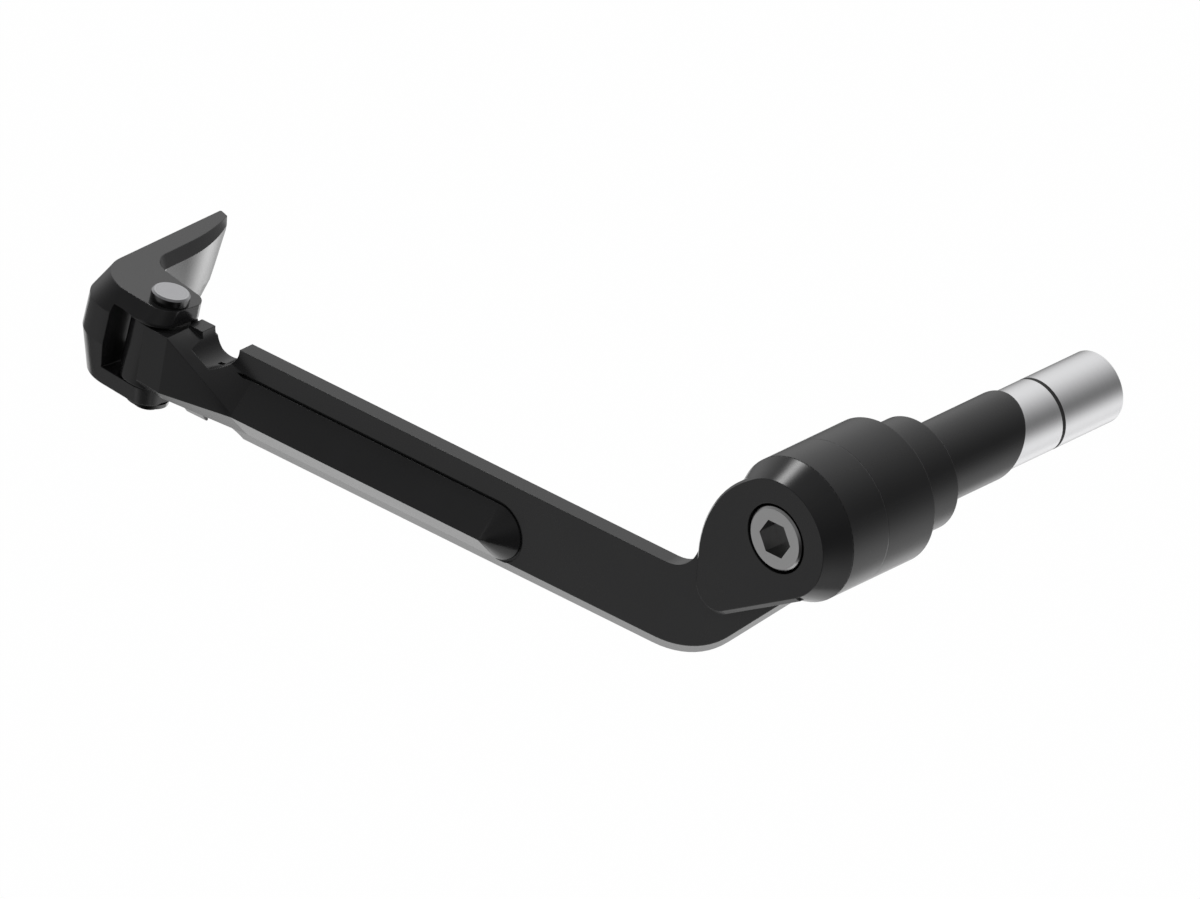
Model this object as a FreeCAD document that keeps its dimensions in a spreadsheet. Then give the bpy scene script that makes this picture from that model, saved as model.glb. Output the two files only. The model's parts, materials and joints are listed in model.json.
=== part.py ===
"""Clutch lever guard: a bar-end expander, a machined arm and a hinged winglet tip.

Frame: +X runs along the handlebar towards the rider's grip, +Y runs forward along the arm to the tip,
+Z is up. The origin lies on the bar's axis, on the shoulder that meets the end of the handlebar tube.
The pivot has a frame of its own: its pin axis leans inwards and backwards from +Z.
"""
import FreeCAD, Part
import math
import os
import Sketcher

doc = FreeCAD.newDocument("clutch_lever_guard")
sheet = doc.addObject("Spreadsheet::Sheet", "Sizes")

# Driving sizes in millimetres and degrees.
SIZES = {
    # turned bar-end pieces, from the handlebar outwards
    "step_length": 10.2,
    "step_radius": 11.4,
    "weight_length": 13.0,
    "weight_radius": 14.6,
    "ring_length": 10.0,
    "ring_radius": 14.6,
    "eye_length": 5.8,
    "eye_radius": 14.6,
    "eye_face_radius": 12.0,
    "spigot_length": 6.0,
    "spigot_radius": 10.0,
    "spigot_clearance": 0.05,
    # expander that grips the inside of the handlebar
    "sleeve_radius": 8.0,
    "sleeve_reach": 21.75,
    "wedge_radius": 7.3,
    "wedge_reach": 51.4,
    "wedge_angle": 26.6,
    "seal_place": 34.7,
    "seal_cord": 0.8,
    "seal_play": 0.05,
    # main bolt, M8 with a socket head
    "bolt_radius": 4.0,
    "bolt_length": 80.0,
    "bolt_clearance": 0.3,
    "thread_clearance": 0.05,
    "bolt_head_radius": 6.5,
    "bolt_head_length": 8.0,
    "bolt_head_edge": 0.4,
    "bolt_proud": 0.3,
    "head_clearance": 0.6,
    "socket_across": 6.8,
    "socket_depth": 4.2,
    # arm plate, ridge and elbow
    "plate_thickness": 3.6,
    "plate_blunt": 0.4,
    "arm_top": 17.7,
    "arm_depth": 20.4,
    "arm_bevel": 3.7,
    "elbow_inner_y": 23.0,
    "elbow_inner_radius": 8.0,
    "elbow_outer_radius": 26.0,
    "leg_offset": 16.15,
    "leg_bevel": 0.8,
    "boss_side_y": 18.6,
    "boss_start_angle": 56.0,
    "boss_shoulder_radius": 24.0,
    "boss_tail_angle": 30.0,
    "boss_corner_radius": 4.5,
    "boss_edge": 0.9,
    "leg_back_y": 4.8,
    "leg_head_z": 3.0,
    "leg_head_inset": 0.7,
    "leg_crown": 8.4,
    "ridge_end_y": 70.2,
    "ridge_inset": 5.2,
    "ridge_half": 5.8,
    "ridge_height": 5.5,
    "crevice_width": 0.6,
    "crevice_depth": 0.5,
    "notch_back": 13.7,
    "notch_radius": 4.7,
    "neck_length": 22.0,
    # pivot at the end of the arm
    "pivot_reach": 155.2,
    "pivot_drop": 14.7,
    "pivot_offset": 0.3,
    "lean_in": 6.2,
    "lean_back": 4.5,
    "nose_radius": 6.4,
    "neck_inner": 4.8,
    "neck_edge_rise": 1.4,
    "neck_edge_run": 1.3,
    "neck_crest_flat": 0.4,
    "tongue_height": 12.8,
    "washer_thickness": 0.5,
    "washer_radius": 4.9,
    "pin_radius": 2.5,
    "pin_head_radius": 3.8,
    "pin_head_height": 1.9,
    "pin_head_edge": 0.35,
    "pin_tail": 1.9,
    "running_clearance": 0.03,
    "bush_wall": 1.0,
    "clip_thickness": 0.8,
    "clip_radius": 4.2,
    "clip_groove": 0.4,
    # hinged winglet tip
    "cheek_top": 3.2,
    "cheek_bottom": 3.6,
    "lip_back_y": 5.8,
    "back_wall_y": 7.9,
    "tip_side": 5.1,
    "tip_near_y": 4.1,
    "tip_near_radius": 4.0,
    "tip_front_y": 15.2,
    "tip_corner_radius": 9.5,
    "tip_inner_x": 7.0,
    "tip_inner_lean": 0.5,
    "tip_inner_radius": 3.5,
    "fin_reach": 37.1,
    "fin_end_y": 20.0,
    "fin_point": 2.2,
    "fin_point_lean": 0.5,
    "fin_bend_x": 28.3,
    "fin_bend_y": 15.0,
    "fin_bend_radius": 60.0,
    "fin_root_x": 8.7,
    "fin_root_y": 12.6,
    "fin_root_radius": 5.0,
    "fin_rake": 20.8,
    "fin_rake_start": 0.5,
    # how far a cutting tool runs past the face it opens
    "overrun": 1.0,
}
for row, (alias, number) in enumerate(SIZES.items(), start=1):
    sheet.set("A%d" % row, alias)
    sheet.set("B%d" % row, str(number))
    sheet.setAlias("B%d" % row, alias)
doc.recompute()


def sized(text):
    """Turn plain size names in a formula into references to the sheet."""
    words = sorted(SIZES, key=len, reverse=True)
    out = ""
    place = 0
    while place < len(text):
        found = next((w for w in words if text.startswith(w, place)), None)
        if found:
            out += "Sizes." + found
            place += len(found)
        else:
            out += text[place]
            place += 1
    return out


def number(text):
    """The present value of a formula."""
    return float(sheet.evalExpression(sized(text)))


def bind(obj, prop, formula):
    obj.setExpression(prop, sized(formula))


def new_body(name):
    return doc.addObject("PartDesign::Body", name)


def origin_plane(body, role):
    return next(f for f in body.Origin.OriginFeatures if f.Role == role)


def outline(body, role, points, name, offset=None):
    """A closed sketch whose corners are formulas: (x, y), or (x, y, radius) if rounded."""
    sketch = body.newObject("Sketcher::SketchObject", name)
    sketch.AttachmentSupport = (origin_plane(body, role), [""])
    sketch.MapMode = "FlatFace"
    corners = [FreeCAD.Vector(number(p[0]), number(p[1]), 0) for p in points]
    count = len(corners)
    starts, ends, arcs = list(corners), list(corners), {}
    for i, point in enumerate(points):
        if len(point) == 3:
            starts[i], ends[i], arcs[i] = corner_arc(corners, i, number(point[2]))
    for i in range(count):
        sketch.addGeometry(Part.LineSegment(ends[i], starts[(i + 1) % count]))
    for i, point in enumerate(points):
        before = (i - 1) % count
        if i in arcs:
            arc, first, last = arcs[i]
            arc_index = sketch.addGeometry(arc)
            spot = sketch.addGeometry(Part.Point(corners[i]), True)
            sketch.addConstraint(Sketcher.Constraint("Tangent", before, 2, arc_index, first))
            sketch.addConstraint(Sketcher.Constraint("Tangent", arc_index, last, i, 1))
            sketch.addConstraint(Sketcher.Constraint("PointOnObject", spot, 1, before))
            sketch.addConstraint(Sketcher.Constraint("PointOnObject", spot, 1, i))
            index = sketch.addConstraint(Sketcher.Constraint("Radius", arc_index, arc.Radius))
            bind(sketch, "Constraints[%d]" % index, point[2])
            held = spot
        else:
            sketch.addConstraint(Sketcher.Constraint("Coincident", before, 2, i, 1))
            held = i
        places = (("DistanceX", point[0], corners[i].x), ("DistanceY", point[1], corners[i].y))
        for kind, formula, value in places:
            index = sketch.addConstraint(Sketcher.Constraint(kind, -1, 1, held, 1, value))
            bind(sketch, "Constraints[%d]" % index, formula)
    if offset:
        bind(sketch, "AttachmentOffset.Base.z", offset)
    return sketch


def corner_arc(corners, i, radius):
    """The arc that rounds one corner, with its two ends and which of its ends comes first."""
    corner = corners[i]
    back = (corners[i - 1] - corner).normalize()
    ahead = (corners[(i + 1) % len(corners)] - corner).normalize()
    half = back.getAngle(ahead) / 2
    start = corner + back * (radius / math.tan(half))
    end = corner + ahead * (radius / math.tan(half))
    centre = corner + (back + ahead).normalize() * (radius / math.sin(half))
    turns_left = back.cross(ahead).z < 0
    first, last = (1, 2) if turns_left else (2, 1)
    opening, closing = (start, end) if turns_left else (end, start)
    angles = [math.atan2(p.y - centre.y, p.x - centre.x) for p in (opening, closing)]
    circle = Part.Circle(centre, FreeCAD.Vector(0, 0, 1), radius)
    return start, end, (Part.ArcOfCircle(circle, *angles), first, last)


def pad(body, sketch, length, name, reverse=False):
    feature = body.newObject("PartDesign::Pad", name)
    feature.Profile = sketch
    bind(feature, "Length", length)
    feature.Reversed = reverse
    doc.recompute()
    return feature


def loft(body, sections, name):
    """A solid with straight lines between like corners of neighbouring sections."""
    feature = body.newObject("PartDesign::AdditiveLoft", name)
    feature.Profile = sections[0]
    feature.Sections = sections[1:]
    feature.Ruled = True
    doc.recompute()
    return feature


def turned(name, profile, upright=False):
    """A turned piece: its profile goes round the bar's axis, or round the pivot's own axis if upright."""
    body = new_body(name)
    sketch = outline(body, "XZ_Plane" if upright else "XY_Plane", profile, name + "_profile")
    feature = body.newObject("PartDesign::Revolution", name + "_turned")
    feature.Profile = sketch
    feature.ReferenceAxis = (sketch, ["V_Axis" if upright else "H_Axis"])
    feature.Angle = 360
    doc.recompute()
    return body


def tube(name, start, end, outer, inner, upright=False):
    """A plain sleeve between two places on the axis."""
    corners = [(start, inner), (end, inner), (end, outer), (start, outer)]
    if upright:
        corners = [(radius, place) for place, radius in corners]
    return turned(name, corners, upright)


def rod(name, start, end, radius, upright=False):
    """A plain solid cylinder between two places on the axis."""
    return tube(name, start, end, radius, "0", upright)


def fused(name, *pieces):
    feature = doc.addObject("Part::MultiFuse", name)
    feature.Shapes = list(pieces)
    feature.Refine = True
    doc.recompute()
    return feature


def cut(name, base, tool):
    feature = doc.addObject("Part::Cut", name)
    feature.Base = base
    feature.Tool = tool
    feature.Refine = True
    doc.recompute()
    return feature


def block(name, corner, size):
    """A plain box from one corner, both given as three formulas."""
    box = doc.addObject("Part::Box", name)
    for prop, formula in zip(("Length", "Width", "Height"), size):
        bind(box, prop, formula)
    bind(box, "Placement", "placement(vector(%s; %s; %s); rotation(0; 0; 0))" % corner)
    doc.recompute()
    return box


def cross_rod(name, corner, radius, length):
    """A plain cylinder that runs along +X from the middle of its end face."""
    cylinder = doc.addObject("Part::Cylinder", name)
    bind(cylinder, "Radius", radius)
    bind(cylinder, "Height", length)
    bind(cylinder, "Placement", "placement(vector(%s; %s; %s); rotation(0; 90; 0))" % corner)
    doc.recompute()
    return cylinder


# Places along the bar's axis, counted outwards from the shoulder as negative X.
WEIGHT_X = "-step_length"
RING_X = "-(step_length + weight_length)"
EYE_BACK_X = "-(step_length + weight_length + ring_length)"
EYE_FACE_X = "-(step_length + weight_length + ring_length + eye_length)"
PLATE_FRONT_X = "-(step_length + weight_length + ring_length + plate_thickness)"
SPIGOT_X = "-(step_length + weight_length + ring_length - spigot_length)"
BOLT_FACE_X = EYE_FACE_X + " - bolt_proud"
BOLT_SEAT_X = BOLT_FACE_X + " + bolt_head_length"
PIVOT_X = PLATE_FRONT_X + " + pivot_offset"
RIDGE_MIDDLE_Z = "-(arm_top + ridge_inset + ridge_half)"

# Heights in the pivot's frame, counted down from the top of the tip.
TONGUE_TOP = "-(cheek_top + washer_thickness)"
LIP_TOP = "-(arm_top - pivot_drop)"
TONGUE_BOTTOM = "-(cheek_top + washer_thickness + tongue_height)"
CHEEK_FLOOR = "-(cheek_top + 2 * washer_thickness + tongue_height)"
TIP_BOTTOM = "-(cheek_top + 2 * washer_thickness + tongue_height + cheek_bottom)"


def on_pivot(obj):
    """Place a piece that is drawn about the upright Z axis on the leaning pin axis."""
    spot = "vector(%s; pivot_reach; -pivot_drop)" % PIVOT_X
    bind(obj, "Placement", "placement(%s; rotation(0; lean_in; lean_back))" % spot)
    doc.recompute()
    return obj


def pivot_section(x, z, y):
    """Where a point given in the pivot's frame lies on the upright plane at y from the pivot."""
    along = "((%s) / cos(lean_back * 1deg) + (%s) * tan(lean_back * 1deg))" % (z, y)
    lean_x = "%s + (%s) * cos(lean_in * 1deg) + %s * sin(lean_in * 1deg)" % (PIVOT_X, x, along)
    lean_z = "-pivot_drop - (%s) * sin(lean_in * 1deg) + %s * cos(lean_in * 1deg)" % (x, along)
    return lean_x, lean_z


def bar_end_weight():
    """Stepped weight: the small step meets the handlebar's end."""
    bore = "bolt_radius + bolt_clearance"
    return turned("bar_end_weight", [
        (RING_X, bore), ("0", bore), ("0", "step_radius"), (WEIGHT_X, "step_radius"),
        (WEIGHT_X, "weight_radius"), (RING_X, "weight_radius")])


def spacer_ring():
    """Ring between the eye and the weight, bored to take the eye's spigot."""
    bore = "bolt_radius + bolt_clearance"
    socket = "spigot_radius + spigot_clearance"
    return turned("spacer_ring", [
        (EYE_BACK_X, socket), (SPIGOT_X + " + spigot_clearance", socket),
        (SPIGOT_X + " + spigot_clearance", bore),
        (RING_X, bore), (RING_X, "ring_radius"), (EYE_BACK_X, "ring_radius")])


def slant_block(name, beyond):
    """A block on one side of the slanting plane where the sleeve and the wedge meet."""
    body = new_body(name)
    rise = "2 * sleeve_radius"
    run = "2 * sleeve_radius * tan(wedge_angle * 1deg)"
    far = "wedge_reach + sleeve_reach" if beyond else "-sleeve_reach"
    section = outline(body, "XZ_Plane", [
        ("sleeve_reach - " + run, "-" + rise), (far, "-" + rise), (far, rise),
        ("sleeve_reach + " + run, rise)],
        name + "_section", "-" + rise)
    pad(body, section, "4 * sleeve_radius", name + "_pad")
    return body


def expander_sleeve():
    """Sleeve with a slanting end: the wedge rides up on it and grips the bar."""
    bore = "bolt_radius + bolt_clearance"
    blank = tube("sleeve_blank", "0", "2 * sleeve_reach", "sleeve_radius", bore)
    return cut("expander_sleeve", blank, slant_block("sleeve_slant", True))


def expander_wedge():
    """Wedge nut with the matching slant, threaded for the bolt and grooved for the seal."""
    groove = "wedge_radius - seal_cord"
    half = "seal_cord * 0.5 + seal_play"
    blank = turned("wedge_blank", [
        ("0", "bolt_radius + thread_clearance"), ("wedge_reach", "bolt_radius + thread_clearance"),
        ("wedge_reach", "wedge_radius"), ("seal_place + " + half, "wedge_radius"),
        ("seal_place + " + half, groove), ("seal_place - (%s)" % half, groove),
        ("seal_place - (%s)" % half, "wedge_radius"), ("0", "wedge_radius")])
    return cut("expander_wedge", blank, slant_block("wedge_slant", False))


def expander_seal():
    """Rubber ring in the wedge's groove."""
    half = "seal_cord * 0.5"
    return tube("expander_seal", "seal_place - " + half, "seal_place + " + half, "wedge_radius",
                "wedge_radius - seal_cord")


def main_bolt():
    """Socket head bolt through the eye, ring, weight and sleeve into the wedge."""
    tip = BOLT_SEAT_X + " + bolt_length"
    blank = turned("bolt_blank", [
        (BOLT_FACE_X, "0"), (tip, "0"), (tip, "bolt_radius"), (BOLT_SEAT_X, "bolt_radius"),
        (BOLT_SEAT_X, "bolt_head_radius"), (BOLT_FACE_X + " + bolt_head_edge", "bolt_head_radius"),
        (BOLT_FACE_X, "bolt_head_radius - bolt_head_edge")])
    socket = new_body("bolt_socket")
    corner = "socket_across * 0.5 / cos(30deg)"
    hexagon = [
        ("%s * cos(%ddeg)" % (corner, turn), "%s * sin(%ddeg)" % (corner, turn))
        for turn in range(0, 360, 60)]
    section = outline(socket, "YZ_Plane", hexagon, "socket_section", BOLT_FACE_X + " - overrun")
    pad(socket, section, "socket_depth + overrun", "socket_pad")
    return cut("main_bolt", blank, socket)


def arm_plate():
    """Flat arm with its elbow: the front outline is smaller along the bottom, which makes the long bevel."""
    body = new_body("arm_plate")

    def sides(bottom, leg):
        return [
            ("pivot_reach", "-arm_top"), ("elbow_inner_y", "-arm_top", "elbow_inner_radius"),
            ("eye_radius - leg_head_inset", "leg_head_z"), ("0", "leg_crown"),
            ("-leg_back_y", "leg_back_y - (%s)" % leg),
            ("(%s) - (%s)" % (bottom, leg), "-(%s)" % bottom, "elbow_outer_radius"),
            ("pivot_reach", "-(%s)" % bottom)]

    low = "arm_top + arm_depth"
    front = outline(body, "YZ_Plane", sides(low + " - arm_bevel", "leg_offset - leg_bevel"), "plate_front",
                    PLATE_FRONT_X)
    back = outline(body, "YZ_Plane", sides(low, "leg_offset"), "plate_back", EYE_BACK_X + " - plate_blunt")
    loft(body, [front, back], "plate_bevelled")
    pad(body, back, "plate_blunt", "plate_edge")
    return body


def boss_corners(edge):
    """The boss follows two tangents of the eye: a bowed one down its front, a straight one underneath."""
    taper = "(eye_radius - eye_face_radius) / eye_length"
    eye = "(eye_face_radius + %s * %s)" % (edge, taper)
    tail = "(eye_face_radius + %s)" % edge
    side = "(boss_side_y + %s)" % edge
    top = (eye + " * cos(boss_start_angle * 1deg)", eye + " * sin(boss_start_angle * 1deg)")
    shoulder = "(%s - %s * cos(boss_start_angle * 1deg)) / sin(boss_start_angle * 1deg)" % (eye, side)
    corner = "-(%s + %s * sin(boss_tail_angle * 1deg)) / cos(boss_tail_angle * 1deg)" % (tail, side)
    end = ("-%s * sin(boss_tail_angle * 1deg)" % tail, "-%s * cos(boss_tail_angle * 1deg)" % tail)
    return [top, (side, shoulder, "boss_shoulder_radius + " + edge),
            (side, corner, "boss_corner_radius + " + edge), end]


def arm_boss():
    """Raised pad with a bevelled edge, from the bolt down the leg of the elbow."""
    body = new_body("arm_boss")
    face = outline(body, "YZ_Plane", boss_corners("0"), "boss_face", EYE_FACE_X)
    foot = outline(body, "YZ_Plane", boss_corners("boss_edge"), "boss_foot", EYE_FACE_X + " + boss_edge")
    loft(body, [face, foot], "boss_bevel")
    pad(body, foot, "eye_length - boss_edge - plate_thickness * 0.5", "boss_pad")
    return body


def arm_eye():
    """Eye with a tapered rim and a spigot that centres it in the ring."""
    return turned("arm_eye", [
        (EYE_FACE_X, "0"), (SPIGOT_X, "0"), (SPIGOT_X, "spigot_radius"), (EYE_BACK_X, "spigot_radius"),
        (EYE_BACK_X, "eye_radius"), (EYE_FACE_X, "eye_face_radius")])


def ridge_corners():
    """The ridge's triangular section, with its root sunk to the middle of the plate."""
    root = PLATE_FRONT_X + " + plate_thickness * 0.5"
    low = RIDGE_MIDDLE_Z + " - ridge_half"
    high = RIDGE_MIDDLE_Z + " + ridge_half"
    return [(PLATE_FRONT_X + " - ridge_height", RIDGE_MIDDLE_Z), (PLATE_FRONT_X, low), (root, low),
            (root, high), (PLATE_FRONT_X, high)]


def arm_ridge():
    """Raised ridge of triangular section along the arm, with a conical end towards the elbow."""
    body = new_body("arm_ridge")
    section = outline(body, "XZ_Plane", ridge_corners(), "ridge_section", "-ridge_end_y")
    pad(body, section, "pivot_reach - neck_length - ridge_end_y", "ridge_bar", True)
    cone = doc.addObject("Part::Cone", "ridge_cone")
    bind(cone, "Radius1", "ridge_half")
    cone.Radius2 = 0
    bind(cone, "Height", "ridge_height")
    bind(cone, "Placement", "placement(vector(%s; ridge_end_y; %s); rotation(0; -90; 0))" % (
        PLATE_FRONT_X, RIDGE_MIDDLE_Z))
    doc.recompute()
    return fused("ridge", body, cone)


def arm_neck():
    """Neck from the ridge to the flat-sided knuckle: a crease climbs from the crest to the lip."""
    body = new_body("arm_neck")
    crest, low, back_low, back_high, high = ridge_corners()
    shoulder = ("%s + neck_crest_flat" % crest[0],
                "%s + neck_crest_flat * ridge_half / ridge_height" % crest[1])
    ridge_side = [crest, low, back_low, back_high, high, shoulder]
    sections = [outline(body, "XZ_Plane", ridge_side, "neck_ridge_side", "-(pivot_reach - neck_length)")]
    side = "-nose_radius"
    for name, y in (("neck_lip", "-lip_back_y"), ("neck_knuckle", "0")):
        sections.append(outline(body, "XZ_Plane", [
            pivot_section(side, TONGUE_BOTTOM + " + neck_edge_rise", y),
            pivot_section(side + " + neck_edge_run", TONGUE_BOTTOM, y),
            pivot_section("neck_inner", TONGUE_BOTTOM, y), pivot_section("neck_inner", LIP_TOP, y),
            pivot_section("-pivot_offset", LIP_TOP, y), pivot_section(side, TONGUE_TOP, y)],
            name, "-(pivot_reach + (%s))" % y))
    loft(body, sections, "neck_loft")
    return body


def ridge_crevice():
    """Thin groove along the ridge's upper root, carried on round its conical end."""
    front = PLATE_FRONT_X + " - crevice_depth"
    run = block("crevice_run", (front, "ridge_end_y", RIDGE_MIDDLE_Z + " + ridge_half"),
                ("2 * crevice_depth", "pivot_reach - notch_back - ridge_end_y", "crevice_width"))
    middle = (front, "ridge_end_y", RIDGE_MIDDLE_Z)
    outer = cross_rod("crevice_outer", middle, "ridge_half + crevice_width", "2 * crevice_depth")
    inner = cross_rod("crevice_inner", middle, "ridge_half", "2 * crevice_depth")
    ring = cut("crevice_ring", outer, inner)
    corner = (front + " - overrun", "ridge_end_y", RIDGE_MIDDLE_Z + " - 2 * ridge_half")
    ahead = block("crevice_ahead", corner,
                  ("2 * (crevice_depth + overrun)", "2 * ridge_half", "4 * ridge_half"))
    return fused("ridge_crevice", run, cut("crevice_end", ring, ahead))


def guard_arm():
    """The whole arm, one machined piece."""
    nose = on_pivot(rod("arm_nose", TONGUE_BOTTOM, TONGUE_TOP, "nose_radius", True))
    blade = fused("arm_blade", arm_plate(), arm_ridge())
    shank = fused("arm_shank", blade, fused("arm_knuckle", arm_neck(), nose))
    solid = fused("arm_solid", shank, fused("arm_hub", arm_boss(), arm_eye()))
    reach = "lip_back_y + tip_front_y"
    above = block("clear_above", ("-2 * nose_radius", "-lip_back_y", TONGUE_TOP),
                  ("4 * nose_radius", reach, "arm_depth"))
    below = block("clear_below", ("-2 * nose_radius", "-lip_back_y", TONGUE_BOTTOM + " - arm_depth"),
                  ("4 * nose_radius", reach, "arm_depth"))
    sweep = on_pivot(fused("tip_sweep", above, below))
    notches = [
        cross_rod(name, (PLATE_FRONT_X + " - plate_thickness", "pivot_reach - notch_back", place),
                  "notch_radius", "3 * plate_thickness")
        for name, place in (("notch_top", "-arm_top"), ("notch_bottom", "-(arm_top + arm_depth)"))]
    bore = rod("arm_bore", EYE_FACE_X + " - overrun", "0", "bolt_radius + bolt_clearance")
    seat = rod("arm_bolt_seat", EYE_FACE_X + " - overrun", BOLT_SEAT_X, "bolt_head_radius + head_clearance")
    bush = "pin_radius + running_clearance + bush_wall"
    pivot = on_pivot(rod("arm_pivot_bore", TIP_BOTTOM, "cheek_top", bush, True))
    tools = fused("arm_cuts", sweep, *notches, bore, seat, pivot, ridge_crevice())
    return cut("guard_arm", solid, tools)


def guard_tip():
    """Winglet tip: a fork over the arm's tongue, with a fin that points towards the lever's end."""
    body = new_body("tip_body")
    plan = outline(body, "XY_Plane", [
        ("-tip_side", "-tip_near_y", "tip_near_radius"), ("-tip_side", "tip_front_y", "tip_corner_radius"),
        ("fin_reach", "fin_end_y"), ("fin_reach - fin_point_lean", "fin_end_y - fin_point"),
        ("fin_bend_x", "fin_bend_y", "fin_bend_radius"), ("fin_root_x", "fin_root_y", "fin_root_radius"),
        ("tip_inner_x", "0"), ("tip_inner_x - tip_inner_lean", "-tip_near_y", "tip_inner_radius")],
        "tip_plan")
    pad(body, plan, "-(%s)" % TIP_BOTTOM, "tip_pad", True)
    slot = block("tip_slot", ("-2 * nose_radius", "-3 * nose_radius", CHEEK_FLOOR),
                 ("2 * nose_radius + fin_root_x", "back_wall_y + 3 * nose_radius",
                  "2 * washer_thickness + tongue_height"))
    rake = doc.addObject("Part::Box", "fin_rake_block")
    bind(rake, "Length", "fin_reach")
    bind(rake, "Width", "3 * fin_end_y")
    bind(rake, "Height", "fin_reach")
    foot_x = "fin_reach + fin_rake_start - fin_reach * sin(fin_rake * 1deg)"
    foot_z = "-fin_reach * cos(fin_rake * 1deg)"
    spot = "placement(vector(%s; -fin_end_y; %s); rotation(0; fin_rake; 0))"
    bind(rake, "Placement", spot % (foot_x, foot_z))
    bore = rod("tip_bore", TIP_BOTTOM + " - overrun", "overrun", "pin_radius", True)
    tools = fused("tip_cuts", slot, rake, bore)
    tip = cut("guard_tip", body, tools)
    return on_pivot(tip)


def pivot_pin():
    """Headed pin, pressed into the tip's two cheeks."""
    tail = TIP_BOTTOM + " - pin_tail"
    groove_top = TIP_BOTTOM
    groove_low = TIP_BOTTOM + " - clip_thickness"
    return on_pivot(turned("pivot_pin", [
        ("0", tail), ("pin_radius", tail), ("pin_radius", groove_low),
        ("pin_radius - clip_groove", groove_low),
        ("pin_radius - clip_groove", groove_top), ("pin_radius", groove_top), ("pin_radius", "0"),
        ("pin_head_radius", "0"), ("pin_head_radius", "pin_head_height - pin_head_edge"),
        ("pin_head_radius - pin_head_edge", "pin_head_height"), ("0", "pin_head_height")], True))


def pivot_bush():
    """Plain bush in the knuckle that the pin turns in."""
    bore = "pin_radius + running_clearance"
    return on_pivot(tube("pivot_bush", TONGUE_BOTTOM, TONGUE_TOP, bore + " + bush_wall", bore, True))


def pivot_washers():
    """A thrust washer above and below the knuckle."""
    bore = "pin_radius + running_clearance"
    upper = on_pivot(tube("pivot_washer_upper", TONGUE_TOP, "-cheek_top", "washer_radius", bore, True))
    lower = on_pivot(tube("pivot_washer_lower", CHEEK_FLOOR, TONGUE_BOTTOM, "washer_radius", bore, True))
    return [upper, lower]


def pivot_clip():
    """Retaining ring in the pin's groove under the lower cheek."""
    return on_pivot(tube("pivot_clip", TIP_BOTTOM + " - clip_thickness", TIP_BOTTOM, "clip_radius",
                         "pin_radius - clip_groove", True))


pieces = [bar_end_weight(), spacer_ring(), expander_sleeve(), expander_wedge(), expander_seal(), main_bolt(),
          guard_arm(), guard_tip(), pivot_pin(), pivot_bush(), *pivot_washers(), pivot_clip()]
doc.recompute()

for obj in doc.Objects:
    if "Invalid" in obj.State or "Error" in obj.State:
        raise RuntimeError("%s failed: %s" % (obj.Name, obj.State))
os.makedirs("parts", exist_ok=True)
for piece in pieces:
    piece.Label = piece.Name
    shape = piece.Shape
    if shape.isNull() or not shape.isValid():
        raise RuntimeError("%s has no valid shape" % piece.Label)
    shape.exportStep("parts/%s.step" % piece.Label)
    box = shape.BoundBox
    print("%-20s solids %d volume %8.1f  X %6.1f %6.1f  Y %6.1f %6.1f  Z %6.1f %6.1f" % (
        piece.Label, len(shape.Solids), shape.Volume, box.XMin, box.XMax, box.YMin, box.YMax,
        box.ZMin, box.ZMax))
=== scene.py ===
"""Looks for the clutch lever guard: black anodised aluminium, bare steel and a rubber seal on white paper.

Lengths are in metres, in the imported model's own frame: +X along the bar, +Y forward along the arm, +Z up.
Only the sizes of the winglet tip are in millimetres.
"""
import json
import math

import bmesh
import bpy
from mathutils import Matrix, Vector


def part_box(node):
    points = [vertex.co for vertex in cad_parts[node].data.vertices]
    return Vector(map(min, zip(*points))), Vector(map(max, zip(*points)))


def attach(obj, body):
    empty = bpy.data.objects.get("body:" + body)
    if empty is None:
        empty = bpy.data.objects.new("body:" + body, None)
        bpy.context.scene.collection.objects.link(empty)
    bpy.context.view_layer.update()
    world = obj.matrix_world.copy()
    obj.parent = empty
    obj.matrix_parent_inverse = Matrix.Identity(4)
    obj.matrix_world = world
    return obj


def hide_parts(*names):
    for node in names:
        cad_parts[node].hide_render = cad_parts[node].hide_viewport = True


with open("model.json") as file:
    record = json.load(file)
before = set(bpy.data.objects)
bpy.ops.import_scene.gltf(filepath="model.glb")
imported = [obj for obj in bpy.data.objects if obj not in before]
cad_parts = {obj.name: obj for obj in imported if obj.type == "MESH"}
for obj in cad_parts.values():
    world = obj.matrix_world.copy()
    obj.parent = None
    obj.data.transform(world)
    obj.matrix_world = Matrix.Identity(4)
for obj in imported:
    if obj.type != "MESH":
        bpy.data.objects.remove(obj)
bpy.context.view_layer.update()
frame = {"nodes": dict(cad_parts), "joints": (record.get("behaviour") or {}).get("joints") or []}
scene = bpy.context.scene
scene.view_settings.view_transform = "Standard"

# Camera: parallel projection, as the photo shows no vanishing point.
# The picture is placed from the middle of the bolt's head.
CAMERA_RIGHT = Vector((0.6663, -0.7424, 0.0711))
CAMERA_UP = Vector((0.3174, 0.3685, 0.8739))
BOLT_HEAD = Vector((-0.0398, 0.0, 0.0))
SHIFT_RIGHT = -0.0327
SHIFT_UP = 0.01711
VIEW_CENTRE = BOLT_HEAD + CAMERA_RIGHT * SHIFT_RIGHT + CAMERA_UP * SHIFT_UP
VIEW_WIDTH = 0.22684
CAMERA_DISTANCE = 0.8
CAMERA_REACH = 10.0

# White paper floor: a strip under the part that runs away from the camera and fills the picture.
WHITE = (1, 1, 1, 1)
PAPER = (0.9, 0.9, 0.9, 1)
FLOOR_Z = -0.35
FLOOR_SIZE = (1.1, 0.55)
FLOOR_CENTRE = (0.15, 0.366)
FLOOR_TURN = math.radians(39.7)
FLOOR_GLOW = 0.97

# Even fill for the bare colours, beside the soft boxes.
FILL = 0.4

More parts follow.
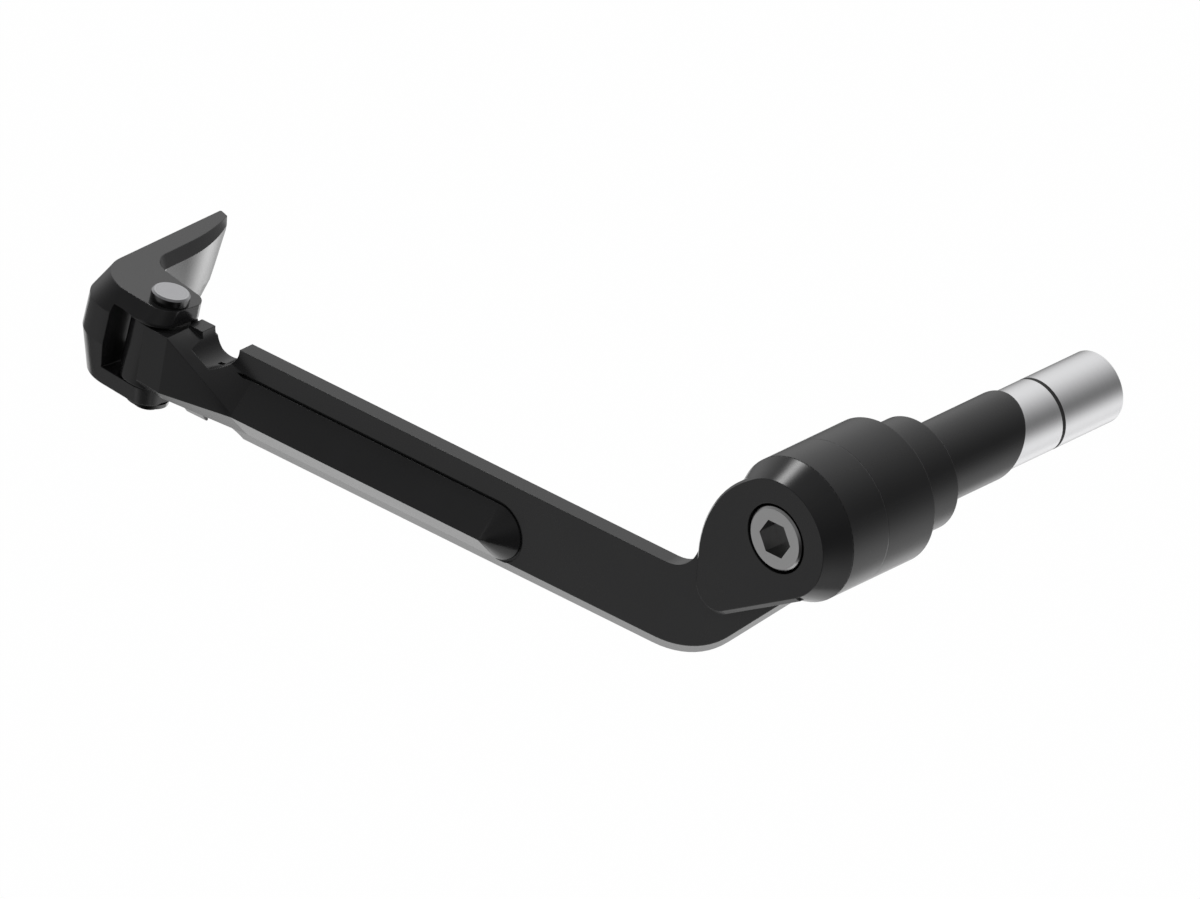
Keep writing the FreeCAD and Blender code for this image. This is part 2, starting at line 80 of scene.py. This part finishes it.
# Soft boxes of the studio, seen in reflections: direction, tightness and strength.
BROAD = 6.0
MEDIUM = 20.0
NARROW = 110.0
SOFT_BOXES = [
    ((0.675, 0.56, 0.48), BROAD, 0.45),
    ((0.9, 0.1, 0.42), BROAD, 1.1),
    ((0.2, 0.95, 0.2), BROAD, 0.65),
    ((0.3, -0.7, 0.65), BROAD, 0.2),
    ((0.5, -0.6, -0.6), BROAD, 1.3),
    ((0.0, 0.0, 1.0), BROAD, 0.4),
    ((-0.675, 0.56, -0.48), BROAD, 0.55),
    ((-0.675, -0.56, 0.48), BROAD, 0.25),
    ((-0.52, 0.56, 0.64), BROAD, 0.2),
    ((0.675, 0.17, -0.7), MEDIUM, 1.0),
    ((0.825, 0.0, -0.565), NARROW, 2.6),
    ((0.09, 0.57, 0.81), NARROW, 14.0),
]

# Depth of every fine bump.
BUMP_DISTANCE = 0.0001

# Black anodised aluminium: near-black base under a thin clear oxide layer, blasted before it was dyed.
BLACK_LOW = (0.010, 0.010, 0.0105, 1)
BLACK_HIGH = (0.016, 0.016, 0.0165, 1)
BLACK_ROUGHNESS = (0.16, 0.24)
OXIDE_IOR = 1.4
CLOUD_SCALE = 60.0
CLOUD_DETAIL = 4.0
BLAST_SCALE = 9000.0
BLAST_DETAIL = 2.0
BLAST_BUMP = 0.02

# Slightly softened edges, and the fine grooves where turned pieces meet.
EDGE_RADIUS = 0.00025
EDGE_SAMPLES = 4
JOINT_HALF = 0.00012
JOINT_DEPTH = 3.0

# Bare metals: darker and lighter colour, roughness from and to, and how fine the turning marks are.
BOLT_STEEL = ((0.42, 0.42, 0.42), (0.5, 0.5, 0.5), (0.25, 0.35), 4000.0)
PIN_STEEL = ((0.3, 0.3, 0.31), (0.36, 0.36, 0.37), (0.22, 0.3), 4000.0)
WEDGE_STEEL = ((0.62, 0.62, 0.63), (0.7, 0.7, 0.71), (0.2, 0.3), 3000.0)
BUSH_BRASS = ((0.6, 0.45, 0.2), (0.7, 0.55, 0.28), (0.3, 0.4), 4000.0)
MARK_DETAIL = 3.0
MARK_BUMP = 0.05

# Painted shade: the pin's steel is painted near-black below the rim of its head, so its side is darker than
# its top.
PAINTED_SHADE_DARK = (0.1, 0.1, 0.1, 1)
PIN_HEAD_SIDE = 0.00155

# Rubber and plastic: darker and lighter colour, and roughness.
SEAL_RUBBER = ((0.008, 0.008, 0.008), (0.014, 0.014, 0.014), 0.7)
WASHER_PLASTIC = ((0.02, 0.02, 0.02), (0.03, 0.03, 0.03), 0.5)
GRAIN_SCALE = 2500.0
GRAIN_DETAIL = 3.0
GRAIN_BUMP = 0.1

# Winglet tip, in millimetres in the pivot's own frame.
# Each outline lists the corners of its plan with their rounding, and the outlines go from the top down.
MM = 0.001
TIP_TOP = [
    (-5.1, -4.1, 4.0), (-5.1, 15.2, 9.8), (37.1, 20.0, 0.3), (36.5, 17.8, 0.3),
    (28.3, 15.0, 60.0), (8.8, 12.6, 6.0), (7.0, 0.0, 1.0), (6.5, -4.1, 3.5)]
TIP_SHOULDER = [
    (-7.0, -4.4, 4.5), (-7.0, 17.8, 9.5), (37.1, 20.0, 0.3), (36.6, 17.5, 0.3),
    (28.3, 13.1, 50.0), (8.7, 10.7, 5.0), (7.0, 0.0, 1.0), (6.5, -4.1, 3.5)]
TIP_WALL = [
    (-7.0, -4.4, 4.5), (-7.0, 17.8, 9.5), (37.1, 20.0, 0.3), (36.6, 17.4, 0.3),
    (28.3, 14.05, 50.0), (8.7, 11.65, 5.0), (7.0, 0.0, 1.0), (6.5, -4.1, 3.5)]
TIP_FOOT = [
    (-5.0, -3.9, 4.0), (-5.0, 15.4, 9.0), (37.1, 20.0, 0.3), (36.6, 19.0, 0.3),
    (28.3, 15.95, 50.0), (8.4, 13.5, 5.0), (6.5, 0.0, 1.0), (6.0, -3.9, 3.5)]

# Height of each outline, and how far each of its corners lies above that height.
# The shoulder's bevel runs deeper round the back corner and shallower along the fin's inner edge.
FLAT = (0.0,) * len(TIP_TOP)
SHOULDER_LIFT = (0.0, -2.4, 0.0, 0.7, 0.7, 0.7, 0.0, 0.0)
TIP_LEVELS = [
    (0.0, TIP_TOP, FLAT),
    (-2.6, TIP_SHOULDER, SHOULDER_LIFT),
    (-12.0, TIP_WALL, FLAT),
    (-20.6, TIP_FOOT, FLAT)]

# What is cut from the tip: the slot for the knuckle, the fin's raked end and the pin's bore.
TIP_SLOT = ((-13.0, -20.0, -17.0), (8.7, 7.9, -3.2))
RAKE_BLOCK = ((0.0, -40.0, -60.0), (40.0, 60.0, 5.0))
FIN_RAKE = math.radians(20.8)
FIN_RAKE_X = 37.6
TIP_BORE = 2.5
BORE_LENGTH = 60.0
BORE_SIDES = 48
CORNER_STEPS = 16
CREASE = math.radians(9.5)


def make_camera():
    data = bpy.data.cameras.new("camera")
    data.type = "ORTHO"
    data.ortho_scale = VIEW_WIDTH
    data.clip_end = CAMERA_REACH
    camera = bpy.data.objects.new("camera", data)
    right = CAMERA_RIGHT.normalized()
    toward = right.cross(CAMERA_UP).normalized()
    up = toward.cross(right)
    turn = Matrix((right, up, toward)).transposed().to_4x4()
    camera.matrix_world = Matrix.Translation(VIEW_CENTRE + toward * CAMERA_DISTANCE) @ turn
    scene.collection.objects.link(camera)
    scene.camera = camera


class Nodes:
    """Short calls for one node tree."""

    def __init__(self, tree):
        self.tree = tree
        tree.nodes.clear()

    def add(self, kind, *inputs, **settings):
        """A node with its settings; inputs are (socket, value or other socket) pairs."""
        node = self.tree.nodes.new(kind)
        for name, value in settings.items():
            setattr(node, name, value)
        for socket, value in inputs:
            if isinstance(value, bpy.types.NodeSocket):
                self.tree.links.new(value, node.inputs[socket])
            else:
                node.inputs[socket].default_value = value
        return node

    def math(self, operation, *values):
        return self.add("ShaderNodeMath", *enumerate(values), operation=operation).outputs[0]

    def vector(self, operation, *values):
        return self.add("ShaderNodeVectorMath", *enumerate(values), operation=operation)

    def place(self):
        """The piece's own coordinates."""
        return self.add("ShaderNodeTexCoord").outputs["Object"]

    def noise(self, where, scale, detail):
        node = self.add("ShaderNodeTexNoise", ("Vector", where), ("Scale", scale), ("Detail", detail))
        return node.outputs["Fac"]

    def blend(self, share, low, high):
        """A colour between two others."""
        node = self.add("ShaderNodeMix", ("Factor", share), ("A", low), ("B", high), data_type="RGBA")
        return node.outputs["Result"]

    def span(self, value, low, high):
        """A value from 0 to 1 taken to another range."""
        return self.add("ShaderNodeMapRange", ("Value", value), ("To Min", low), ("To Max", high)).outputs[0]

    def bump(self, height, strength, *inputs):
        node = self.add("ShaderNodeBump", ("Height", height), ("Strength", strength),
                        ("Distance", BUMP_DISTANCE), *inputs)
        return node.outputs[0]

    def surface(self, *inputs):
        """The finished surface, from inputs of the Principled shader."""
        shader = self.add("ShaderNodeBsdfPrincipled", *inputs)
        self.add("ShaderNodeOutputMaterial", ("Surface", shader.outputs[0]))


def new_material(name):
    """An empty material and its nodes."""
    material = bpy.data.materials.new(name)
    material.use_nodes = True
    return material, Nodes(material.node_tree)


def make_world():
    """Soft boxes all round; straight on and through glass the backdrop is white."""
    world = bpy.data.worlds.new("studio")
    world.use_nodes = True
    scene.world = world
    n = Nodes(world.node_tree)
    ray = n.add("ShaderNodeTexCoord").outputs["Generated"]
    path = n.add("ShaderNodeLightPath").outputs
    studio = n.math("MULTIPLY", path["Is Diffuse Ray"], FILL)
    for direction, tightness, strength in SOFT_BOXES:
        aim = n.vector("DOT_PRODUCT", ray, Vector(direction).normalized()).outputs["Value"]
        facing = n.math("MAXIMUM", aim, 0.0)
        lobe = n.math("MULTIPLY", n.math("POWER", facing, tightness), strength)
        studio = n.math("ADD", studio, lobe)
    backdrop = n.math("MAXIMUM", path["Is Camera Ray"], path["Is Transmission Ray"])
    level = n.add("ShaderNodeMix", ("Factor", backdrop), ("A", studio), ("B", 1.0), data_type="FLOAT")
    sky = n.add("ShaderNodeBackground", ("Color", WHITE), ("Strength", level.outputs[0]))
    n.add("ShaderNodeOutputWorld", ("Surface", sky.outputs[0]))


def make_floor():
    """Paper that is white straight on, mirrored and through glass, and keeps a trace of the part's shadow."""
    bpy.ops.mesh.primitive_plane_add(
        size=1.0, location=(*FLOOR_CENTRE, FLOOR_Z), rotation=(0, 0, FLOOR_TURN))
    floor = bpy.context.object
    floor.scale = (*FLOOR_SIZE, 1)
    floor.name = "floor"
    material, n = new_material("floor_white")
    path = n.add("ShaderNodeLightPath").outputs
    direct = n.math("MAXIMUM", path["Is Camera Ray"], path["Is Transmission Ray"])
    seen = n.math("MAXIMUM", direct, path["Is Glossy Ray"])
    glow = n.add("ShaderNodeEmission", ("Color", WHITE), ("Strength", 1.0))
    matt = n.add("ShaderNodeBsdfDiffuse", ("Color", PAPER))
    share = n.math("MULTIPLY", seen, FLOOR_GLOW)
    mixed = n.add("ShaderNodeMixShader", (0, share), (1, matt.outputs[0]), (2, glow.outputs[0]))
    n.add("ShaderNodeOutputMaterial", ("Surface", mixed.outputs[0]))
    floor.data.materials.append(material)


def black_anodised(name, joints=()):
    """Blasted black anodising; joints are places along X where a turned piece meets the next."""
    material, n = new_material(name)
    place = n.place()
    cloud = n.noise(place, CLOUD_SCALE, CLOUD_DETAIL)
    height = n.noise(place, BLAST_SCALE, BLAST_DETAIL)
    along = n.add("ShaderNodeSeparateXYZ", ("Vector", place)).outputs["X"]
    for joint in joints:
        gap = n.math("ABSOLUTE", n.math("SUBTRACT", along, joint))
        groove = n.add("ShaderNodeMapRange", ("Value", gap), ("From Max", JOINT_HALF),
                       ("To Min", -JOINT_DEPTH), ("To Max", 0.0))
        height = n.math("ADD", height, groove.outputs[0])
    edge = n.add("ShaderNodeBevel", ("Radius", EDGE_RADIUS), samples=EDGE_SAMPLES)
    n.surface(("Base Color", n.blend(cloud, BLACK_LOW, BLACK_HIGH)),
              ("Roughness", n.span(cloud, *BLACK_ROUGHNESS)),
              ("IOR", OXIDE_IOR),
              ("Normal", n.bump(height, BLAST_BUMP, ("Normal", edge.outputs[0]))))
    return material


def bare_metal(name, finish, axis, origin, painted_shade_below=None):
    """Metal with fine turning marks round an axis through origin, with shade painted near-black below a
    height on that axis.
    """
    low, high, roughness, mark_scale = finish
    material, n = new_material(name)
    local = n.vector("SUBTRACT", n.place(), origin).outputs[0]
    along = n.vector("DOT_PRODUCT", local, axis).outputs["Value"]
    across = n.vector("CROSS_PRODUCT", local, axis).outputs[0]
    radius = n.vector("LENGTH", across).outputs["Value"]
    section = n.add("ShaderNodeCombineXYZ", ("X", along), ("Y", radius)).outputs[0]
    marks = n.noise(section, mark_scale, MARK_DETAIL)
    colour = n.blend(marks, (*low, 1), (*high, 1))
    # Painted shade: below the given height on the axis the colour is painted near-black.
    if painted_shade_below is not None:
        colour = n.blend(n.math("GREATER_THAN", along, painted_shade_below), PAINTED_SHADE_DARK, colour)
    n.surface(("Base Color", colour),
              ("Metallic", 1.0),
              ("Roughness", n.span(marks, *roughness)),
              ("Normal", n.bump(marks, MARK_BUMP)))
    return material


def matt_solid(name, finish):
    """Rubber or plastic with a soft mottle."""
    low, high, roughness = finish
    material, n = new_material(name)
    grain = n.noise(n.place(), GRAIN_SCALE, GRAIN_DETAIL)
    n.surface(("Base Color", n.blend(grain, (*low, 1), (*high, 1))),
              ("Roughness", roughness),
              ("Normal", n.bump(grain, GRAIN_BUMP)))
    return material


def pivot_frame():
    """The pivot's own axes as a matrix: Z on the pin, X square to the frame's Y."""
    hinge = frame["joints"][0]
    z = Vector(hinge["axis"]).normalized()
    x = Vector((0, 1, 0)).cross(z).normalized()
    turn = Matrix((x, z.cross(x), z)).transposed().to_4x4()
    return Matrix.Translation(hinge["pos_m"]) @ turn


def rounded(corners):
    """Plan points of an outline with each corner turned into an arc."""
    points = []
    for i, (x, y, radius) in enumerate(corners):
        corner = Vector((x, y))
        back = (Vector(corners[i - 1][:2]) - corner).normalized()
        ahead = (Vector(corners[(i + 1) % len(corners)][:2]) - corner).normalized()
        half = back.angle(ahead) / 2
        centre = corner + (back + ahead).normalized() * (radius / math.sin(half))
        start = corner + back * (radius / math.tan(half)) - centre
        sweep = start.angle_signed(corner + ahead * (radius / math.tan(half)) - centre)
        for step in range(CORNER_STEPS + 1):
            points.append(centre + Matrix.Rotation(-sweep * step / CORNER_STEPS, 2) @ start)
    return points


def mesh_object(name, build):
    """A new object whose mesh is made by build(bm)."""
    bm = bmesh.new()
    build(bm)
    bmesh.ops.recalc_face_normals(bm, faces=bm.faces)
    mesh = bpy.data.meshes.new(name)
    bm.to_mesh(mesh)
    bm.free()
    item = bpy.data.objects.new(name, mesh)
    scene.collection.objects.link(item)
    return item


def lofted(bm, levels):
    """A closed solid through outlines at different heights."""
    rings = []
    for z, corners, lifts in levels:
        places = enumerate(rounded(corners))
        rings.append([bm.verts.new((p.x, p.y, z + lifts[i // (CORNER_STEPS + 1)])) for i, p in places])
    for upper, lower in zip(rings, rings[1:]):
        for i in range(len(upper)):
            bm.faces.new((upper[i - 1], upper[i], lower[i], lower[i - 1]))
    bm.faces.new(rings[0])
    bm.faces.new(rings[-1])


def brick(bm, low, high):
    """A block between two corners."""
    low, high = Vector(low), Vector(high)
    place = Matrix.Translation((low + high) / 2) @ Matrix.Diagonal((*(high - low), 1))
    bmesh.ops.create_cube(bm, size=1.0, matrix=place)


def bore(bm):
    """A round bar on the pivot's axis."""
    bmesh.ops.create_cone(bm, cap_ends=True, segments=BORE_SIDES, radius1=TIP_BORE, radius2=TIP_BORE,
                          depth=BORE_LENGTH)


def carve(item, cutter):
    """Cut one object out of another for good."""
    step = item.modifiers.new("carve", "BOOLEAN")
    step.operation = "DIFFERENCE"
    step.solver = "EXACT"
    step.object = cutter
    bpy.context.view_layer.update()
    carved = item.evaluated_get(bpy.context.evaluated_depsgraph_get())
    result = bpy.data.meshes.new_from_object(carved)
    item.modifiers.clear()
    item.data = result
    bpy.data.objects.remove(cutter)


def make_tip(material):
    """Winglet tip with its bevelled shoulders, hollow fin face and drafted foot."""
    tip = mesh_object("winglet_tip", lambda bm: lofted(bm, TIP_LEVELS))
    carve(tip, mesh_object("slot", lambda bm: brick(bm, *TIP_SLOT)))
    rake = mesh_object("rake", lambda bm: brick(bm, *RAKE_BLOCK))
    rake.matrix_world = Matrix.Translation((FIN_RAKE_X, 0, 0)) @ Matrix.Rotation(FIN_RAKE, 4, "Y")
    carve(tip, rake)
    carve(tip, mesh_object("bore", bore))
    tip.data.transform(pivot_frame() @ Matrix.Scale(MM, 4))
    tip.data.shade_smooth()
    tip.data.set_sharp_from_angle(angle=CREASE)
    tip.data.materials.clear()
    tip.data.materials.append(material)
    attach(tip, "tip")
    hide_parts("guard_tip")


def dress():
    """Give every node its finish, and show the shaped tip in place of the plain one."""
    hinge = frame["joints"][0]
    pin_line = (Vector(hinge["axis"]), Vector(hinge["pos_m"]))
    bar_line = (Vector((1, 0, 0)), Vector((0, 0, 0)))
    black = black_anodised("black_anodised")
    ring_ends = [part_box("spacer_ring")[0][0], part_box("spacer_ring")[1][0]]
    turned = black_anodised("black_turned", ring_ends)
    pin = bare_metal("pin_steel", PIN_STEEL, *pin_line, PIN_HEAD_SIDE)
    plastic = matt_solid("washer_plastic", WASHER_PLASTIC)
    finish = {
        "spacer_ring": turned,
        "bar_end_weight": turned,
        "main_bolt": bare_metal("bolt_steel", BOLT_STEEL, *bar_line),
        "pivot_pin": pin,
        "pivot_clip": pin,
        "expander_wedge": bare_metal("wedge_steel", WEDGE_STEEL, *bar_line),
        "pivot_bush": bare_metal("bush_brass", BUSH_BRASS, *pin_line),
        "expander_seal": matt_solid("seal_rubber", SEAL_RUBBER),
        "pivot_washer_upper": plastic,
        "pivot_washer_lower": plastic}
    for name, node in frame["nodes"].items():
        node.data.materials.clear()
        node.data.materials.append(finish.get(name, black))
    make_tip(black)


make_camera()
make_world()
make_floor()
dress()
